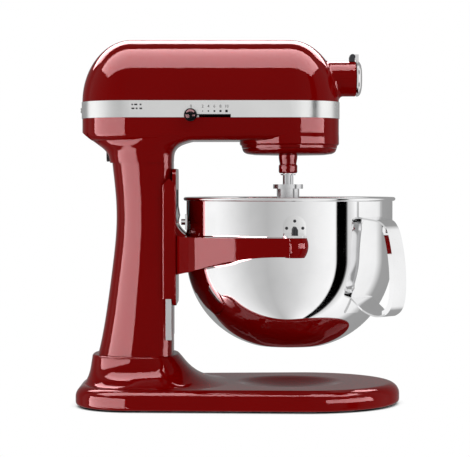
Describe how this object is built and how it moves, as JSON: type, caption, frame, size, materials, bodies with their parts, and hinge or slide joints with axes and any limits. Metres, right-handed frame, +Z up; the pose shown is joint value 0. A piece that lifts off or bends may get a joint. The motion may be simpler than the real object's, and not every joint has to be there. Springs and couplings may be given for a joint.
{
  "type": "stand mixer",
  "caption": "Bowl-lift stand mixer: long rounded head on a column and flat base, with a lifting yoke, removable steel bowl, planetary beater drive, speed slide and front attachment hub.",
  "frame": {"origin": "middle of the footprint, at the height of the counter under the rubber feet", "axes": "+Z up, +X to the front where the attachment hub is, +Y to the side with the bowl-lift lever"},
  "size_m": [0.371, 0.2876, 0.418],
  "materials": {
    "enamel": "high-gloss deep red enamel on castings",
    "polished_steel": "mirror-polished stainless steel",
    "brushed_trim": "satin silver trim",
    "bright_plate": "bright plated metal",
    "machined_steel": "machined steel",
    "zinc_screw": "zinc-plated fasteners",
    "black_plastic": "glossy black plastic",
    "insulator": "matte black moulding",
    "foot_rubber": "grey-black rubber",
    "gear_bronze": "worm-gear bronze",
    "bush_bronze": "sintered bronze",
    "lamination": "laminated electrical steel",
    "copper": "enamelled copper winding",
    "carbon": "pressed carbon",
    "cast_grey": "bare cast aluminium",
    "beater_enamel": "burnished cast aluminium",
    "board": "circuit board",
    "spring_steel": "spring steel strip"
  },
  "bodies": {
    "stand": {"base": "enamel", "rubber_feet": "foot_rubber", "column": "enamel", "column_foot_flange": "cast_grey", "column_bolts": "zinc_screw", "guide_rails": "machined_steel", "lever_bushes": "bush_bronze", "lower_housing": "enamel", "upper_housing": "enamel", "trim_band": "brushed_trim", "band_screws": "zinc_screw", "cord_gland": "insulator", "attachment_hub": "enamel", "hub_hinge_bracket": "bright_plate", "hub_bush": "bush_bronze", "gearbox_plate": "cast_grey", "gearbox_screws": "zinc_screw", "centre_bearing": "machined_steel", "ring_gear": "machined_steel", "stator": "lamination", "stator_coils": "copper", "motor_front_bracket": "cast_grey", "motor_rear_bracket": "cast_grey", "motor_bearings": "machined_steel", "brush_holders": "insulator", "carbon_brushes": "carbon", "speed_board": "board"},
    "carriage": {"yoke": "enamel", "locating_pins": "machined_steel", "lift_lug": "machined_steel", "lug_screws": "zinc_screw", "latch_spring": "spring_steel"},
    "bowl_assembly": {"bowl": "polished_steel", "bowl_handle": "polished_steel", "bowl_side_brackets": "polished_steel", "bowl_rear_lug": "polished_steel"},
    "lift_lever": {"lever_shaft": "machined_steel", "lift_crank": "machined_steel", "lever_arm": "bright_plate", "lever_grip": "black_plastic"},
    "speed_control": {"speed_lever": "machined_steel", "speed_knob": "black_plastic"},
    "hub_lid": {"hub_cover": "bright_plate"},
    "hub_clamp": {"hub_knob": "black_plastic", "hub_knob_screw": "machined_steel"},
    "hub_output": {"hub_drive_shaft": "machined_steel"},
    "planetary": {"planetary_housing": "enamel", "centre_shaft": "machined_steel", "centre_gear": "machined_steel", "centre_bevel_gear": "machined_steel"},
    "beater": {"beater_shaft": "machined_steel", "planet_pinion": "machined_steel", "shaft_washer": "machined_steel", "flat_beater": "beater_enamel"},
    "transfer": {"worm_wheel": "gear_bronze", "transfer_shaft": "machined_steel"},
    "armature": {"armature_shaft": "machined_steel", "armature_core": "lamination", "armature_winding": "copper", "commutator_and_fan": "copper"}
  },
  "joints": [
    {"name": "bowl_lift", "type": "slide", "parent": "stand", "child": "carriage", "axis": [0, 0, -1], "range_m": [0, 0.046]},
    {"name": "bowl_lift_off", "type": "slide", "parent": "carriage", "child": "bowl_assembly", "axis": [0, 0, 1], "range_m": [0, 0.012]},
    {"name": "lift_lever_turn", "type": "hinge", "parent": "stand", "child": "lift_lever", "pos_m": [-0.101, 0, 0.165], "axis": [0, -1, 0], "range_deg": [0, 120]},
    {"name": "speed_slide", "type": "slide", "parent": "stand", "child": "speed_control", "axis": [1, 0, 0], "range_m": [0, 0.041]},
    {"name": "hub_lid_hinge", "type": "hinge", "parent": "stand", "child": "hub_lid", "pos_m": [0.1314, 0, 0.3986], "axis": [0, -1, 0], "range_deg": [0, 110]},
    {"name": "hub_clamp_turn", "type": "hinge", "parent": "stand", "child": "hub_clamp", "pos_m": [0.121, 0.03, 0.3736], "axis": [0, 1, 0], "range_deg": [-360, 0]},
    {"name": "planetary_spin", "type": "hinge", "parent": "stand", "child": "planetary", "pos_m": [0.059, 0, 0.29], "axis": [0, 0, 1], "continuous": true},
    {"name": "beater_spin", "type": "hinge", "parent": "planetary", "child": "beater", "pos_m": [0.05671, -0.02791, 0.29], "axis": [0, 0, 1], "continuous": true},
    {"name": "transfer_spin", "type": "hinge", "parent": "stand", "child": "transfer", "pos_m": [0.02725, 0.0275, 0.34], "axis": [0, 0, 1], "continuous": true},
    {"name": "armature_spin", "type": "hinge", "parent": "stand", "child": "armature", "pos_m": [-0.041, 0, 0.352], "axis": [1, 0, 0], "continuous": true},
    {"name": "hub_output_spin", "type": "hinge", "parent": "stand", "child": "hub_output", "pos_m": [0.089, 0, 0.3736], "axis": [1, 0, 0], "continuous": true}
  ],
  "couplings": [
    {"joint": "lift_lever_turn", "follows": "bowl_lift", "rad_per_m": 45.53},
    {"joint": "beater_spin", "follows": "planetary_spin", "ratio": -3.5},
    {"joint": "transfer_spin", "follows": "planetary_spin", "ratio": -3},
    {"joint": "armature_spin", "follows": "planetary_spin", "ratio": 39},
    {"joint": "hub_output_spin", "follows": "planetary_spin", "ratio": 1}
  ]
}
